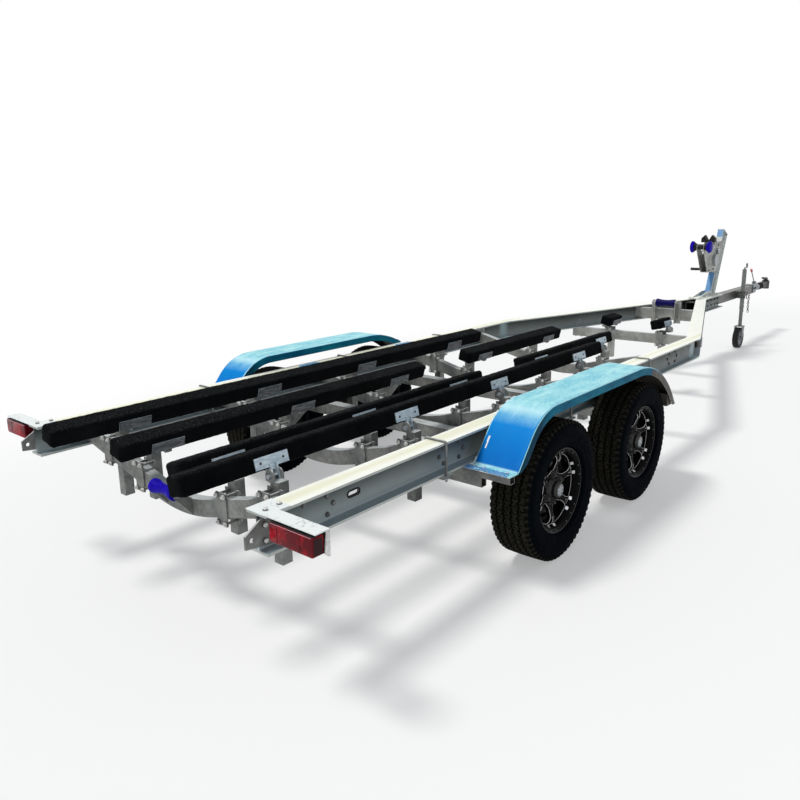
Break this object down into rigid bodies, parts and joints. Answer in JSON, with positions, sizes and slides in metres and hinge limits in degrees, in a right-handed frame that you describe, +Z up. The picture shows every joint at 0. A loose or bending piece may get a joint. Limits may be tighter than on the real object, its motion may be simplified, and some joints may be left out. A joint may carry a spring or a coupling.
{
  "type": "tandem boat trailer",
  "caption": "Tandem-axle boat trailer with carpeted bunks, bent crossmembers, winch post with bow roller, jockey wheel and ball coupling.",
  "frame": {"origin": "on the ground, under the middle of the trailer's overall length and width", "axes": "+X forward to the coupling, +Y to the left side, +Z up"},
  "size_m": [9.67, 2.244, 1.4411],
  "materials": {
    "galvanised": "hot-dip galvanised, matt silver-grey",
    "filmed_rail": "aluminium under a thin clear-bluish film",
    "blue_film": "blue protective film over aluminium",
    "carpet": "dark needled carpet",
    "tyre": "black rubber",
    "alloy_rim": "black paint with machined faces",
    "hub_steel": "grey cast with a bright cap",
    "roller_blue": "deep blue rubber",
    "black_rubber": "black moulded rubber",
    "lamp_red": "red lens",
    "lamp_black": "black moulding",
    "plate_white": "pale aluminium sheet",
    "zinc_steel": "zinc-plated steel",
    "cast_black": "black paint on a casting"
  },
  "bodies": {
    "root": {"axle_front": "galvanised", "axle_rear": "galvanised", "bent_crossmembers": "galvanised", "bow_stop": "black_rubber", "brake_lever": "zinc_steel", "bunk_posts": "galvanised", "bunk_swivels": "zinc_steel", "coupling_bellows": "black_rubber", "coupling_head": "cast_black", "coupling_housing": "cast_black", "coupling_latch": "cast_black", "crossmember_front": "galvanised", "crossmember_roller": "galvanised", "drawbar": "filmed_rail", "front_pads": "carpet", "inner_front_bunks": "carpet", "inner_rear_bunks": "carpet", "jockey_clamp": "zinc_steel", "jockey_tube": "zinc_steel", "keel_bracket_front": "galvanised", "keel_bracket_rear": "galvanised", "lamp_plates": "plate_white", "mudguard_left": "blue_film", "mudguard_mountings": "galvanised", "mudguard_right": "blue_film", "outer_bunks": "carpet", "rail_left": "filmed_rail", "rail_right": "filmed_rail", "side_markers": "lamp_black", "strap_eyes": "galvanised", "tail_lamps": "lamp_red", "winch_bracket": "galvanised", "winch_frame": "zinc_steel", "winch_post": "filmed_rail"},
    "bow_roller": {"bow_roller": "roller_blue"},
    "wheel_front_left": {"hub_front_left": "hub_steel", "rim_front_left": "alloy_rim", "tyre_front_left": "tyre"},
    "wheel_front_right": {"hub_front_right": "hub_steel", "rim_front_right": "alloy_rim", "tyre_front_right": "tyre"},
    "wheel_rear_left": {"hub_rear_left": "hub_steel", "rim_rear_left": "alloy_rim", "tyre_rear_left": "tyre"},
    "wheel_rear_right": {"hub_rear_right": "hub_steel", "rim_rear_right": "alloy_rim", "tyre_rear_right": "tyre"},
    "jockey_fork": {"jockey_fork": "zinc_steel"},
    "jockey_leg": {"jockey_leg": "zinc_steel"},
    "jockey_wheel": {"jockey_rim": "zinc_steel", "jockey_tyre": "black_rubber"},
    "keel_roller_front": {"keel_roller_front": "roller_blue"},
    "keel_roller_rear": {"keel_roller_rear": "roller_blue"},
    "winch_crank": {"winch_crank": "zinc_steel"},
    "winch_drum": {"winch_drum": "zinc_steel"}
  },
  "joints": [
    {"name": "wheel_rear_left_spin", "type": "hinge", "parent": "root", "child": "wheel_rear_left", "pos_m": [-3.115, 1.0025, 0.35], "axis": [0, 1, 0], "continuous": true},
    {"name": "wheel_front_left_spin", "type": "hinge", "parent": "root", "child": "wheel_front_left", "pos_m": [-2.148, 1.0025, 0.35], "axis": [0, 1, 0], "continuous": true},
    {"name": "wheel_rear_right_spin", "type": "hinge", "parent": "root", "child": "wheel_rear_right", "pos_m": [-3.115, -1.0025, 0.35], "axis": [0, 1, 0], "continuous": true},
    {"name": "wheel_front_right_spin", "type": "hinge", "parent": "root", "child": "wheel_front_right", "pos_m": [-2.148, -1.0025, 0.35], "axis": [0, 1, 0], "continuous": true},
    {"name": "keel_roller_rear_spin", "type": "hinge", "parent": "root", "child": "keel_roller_rear", "pos_m": [-4.577, 0, 0.545], "axis": [0, 1, 0], "continuous": true},
    {"name": "keel_roller_front_spin", "type": "hinge", "parent": "root", "child": "keel_roller_front", "pos_m": [1.095, 0, 0.762], "axis": [0, 1, 0], "continuous": true},
    {"name": "bow_roller_spin", "type": "hinge", "parent": "root", "child": "bow_roller", "pos_m": [2.03, 0, 1.268], "axis": [0, 1, 0], "continuous": true},
    {"name": "winch_drum_spin", "type": "hinge", "parent": "root", "child": "winch_drum", "pos_m": [2.375, 0, 1.11], "axis": [0, 1, 0], "continuous": true},
    {"name": "winch_crank_spin", "type": "hinge", "parent": "root", "child": "winch_crank", "pos_m": [2.441, 0, 1.205], "axis": [0, 1, 0], "continuous": true},
    {"name": "jockey_leg_slide", "type": "slide", "parent": "root", "child": "jockey_leg", "axis": [0, 0, 1], "range_m": [0, 0.19]},
    {"name": "jockey_swivel", "type": "hinge", "parent": "jockey_leg", "child": "jockey_fork", "pos_m": [3.285, -0.12, 0.268], "axis": [0, 0, 1], "continuous": true},
    {"name": "jockey_wheel_spin", "type": "hinge", "parent": "jockey_fork", "child": "jockey_wheel", "pos_m": [3.243, -0.12, 0.125], "axis": [0, 1, 0], "continuous": true}
  ],
  "couplings": [
    {"joint": "winch_crank_spin", "follows": "winch_drum_spin", "ratio": -4}
  ]
}
